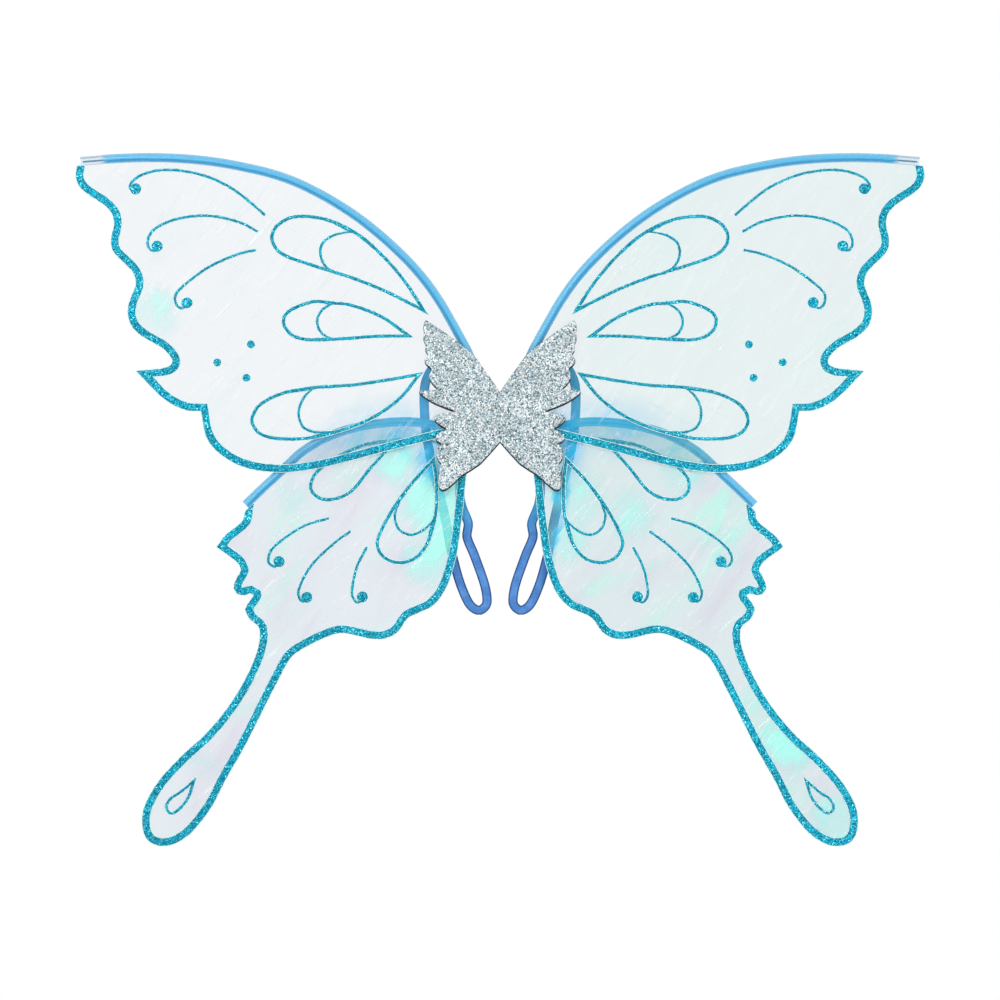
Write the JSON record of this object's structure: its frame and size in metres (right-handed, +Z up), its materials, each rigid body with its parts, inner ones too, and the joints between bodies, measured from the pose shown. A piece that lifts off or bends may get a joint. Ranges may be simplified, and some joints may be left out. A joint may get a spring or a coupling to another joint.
{
  "type": "costume fairy wings",
  "caption": "Wearable butterfly-shaped fairy wings: clear film on sleeved wire with glitter edging, a foam centrepiece, a back pad and elastic arm loops.",
  "frame": {"origin": "middle of the back pad's rear face, which lies on the wearer's back", "axes": "+Z up, +X to the right of someone who looks at the decorated side, +Y out of the pad's rear face towards the wearer"},
  "size_m": [0.8532, 0.0221, 0.6944],
  "materials": {
    "clear_film": "clear pearlescent film with a faint blue, mint and lilac sheen",
    "turquoise_glitter": "turquoise glitter set in glue",
    "blue_sleeve": "light blue translucent film sleeve",
    "wire": "dark drawn wire",
    "silver_glitter_foam": "silver glitter on foam sheet",
    "felt": "pressed pale felt",
    "blue_elastic": "woven cornflower blue elastic webbing"
  },
  "bodies": {
    "hub": {"back_pad": "felt", "centre_binding": "felt", "left_strap_tab_lower": "blue_elastic", "left_strap_tab_upper": "blue_elastic", "right_strap_tab_lower": "blue_elastic", "right_strap_tab_upper": "blue_elastic"},
    "left_wing": {"left_centrepiece": "silver_glitter_foam", "left_forewing_border": "turquoise_glitter", "left_forewing_casing": "blue_sleeve", "left_forewing_curl_lower": "turquoise_glitter", "left_forewing_curl_middle": "turquoise_glitter", "left_forewing_curl_upper": "turquoise_glitter", "left_forewing_dot_1": "turquoise_glitter", "left_forewing_dot_2": "turquoise_glitter", "left_forewing_dot_3": "turquoise_glitter", "left_forewing_film": "clear_film", "left_forewing_loop_lower": "turquoise_glitter", "left_forewing_loop_middle": "turquoise_glitter", "left_forewing_loop_upper": "turquoise_glitter", "left_forewing_wire": "wire", "left_hindwing_border": "turquoise_glitter", "left_hindwing_casing": "blue_sleeve", "left_hindwing_curl_inner": "turquoise_glitter", "left_hindwing_curl_middle": "turquoise_glitter", "left_hindwing_curl_outer": "turquoise_glitter", "left_hindwing_film": "clear_film", "left_hindwing_loop_lower": "turquoise_glitter", "left_hindwing_loop_upper": "turquoise_glitter", "left_hindwing_teardrop": "turquoise_glitter", "left_hindwing_wire": "wire", "left_root_patch": "felt"},
    "left_arm_loop": {"left_strap": "blue_elastic"},
    "right_wing": {"right_centrepiece": "silver_glitter_foam", "right_forewing_border": "turquoise_glitter", "right_forewing_casing": "blue_sleeve", "right_forewing_curl_lower": "turquoise_glitter", "right_forewing_curl_middle": "turquoise_glitter", "right_forewing_curl_upper": "turquoise_glitter", "right_forewing_dot_1": "turquoise_glitter", "right_forewing_dot_2": "turquoise_glitter", "right_forewing_dot_3": "turquoise_glitter", "right_forewing_film": "clear_film", "right_forewing_loop_lower": "turquoise_glitter", "right_forewing_loop_middle": "turquoise_glitter", "right_forewing_loop_upper": "turquoise_glitter", "right_forewing_wire": "wire", "right_hindwing_border": "turquoise_glitter", "right_hindwing_casing": "blue_sleeve", "right_hindwing_curl_inner": "turquoise_glitter", "right_hindwing_curl_middle": "turquoise_glitter", "right_hindwing_curl_outer": "turquoise_glitter", "right_hindwing_film": "clear_film", "right_hindwing_loop_lower": "turquoise_glitter", "right_hindwing_loop_upper": "turquoise_glitter", "right_hindwing_teardrop": "turquoise_glitter", "right_hindwing_wire": "wire", "right_root_patch": "felt"},
    "right_arm_loop": {"right_strap": "blue_elastic"}
  },
  "joints": [
    {"name": "left_wing_fold", "type": "hinge", "parent": "hub", "child": "left_wing", "pos_m": [0, -0.0156, 0], "axis": [0, 0, 1], "range_deg": [0, 80]},
    {"name": "right_wing_fold", "type": "hinge", "parent": "hub", "child": "right_wing", "pos_m": [0, -0.0156, 0], "axis": [0, 0, -1], "range_deg": [0, 80]},
    {"name": "left_arm_loop_swing", "type": "hinge", "parent": "hub", "child": "left_arm_loop", "pos_m": [-0.06685, -0.001, 0.04815], "axis": [0.2242, 0, -0.9745], "range_deg": [0, 90]},
    {"name": "right_arm_loop_swing", "type": "hinge", "parent": "hub", "child": "right_arm_loop", "pos_m": [0.06685, -0.001, 0.04815], "axis": [0.2242, 0, 0.9745], "range_deg": [0, 90]}
  ]
}
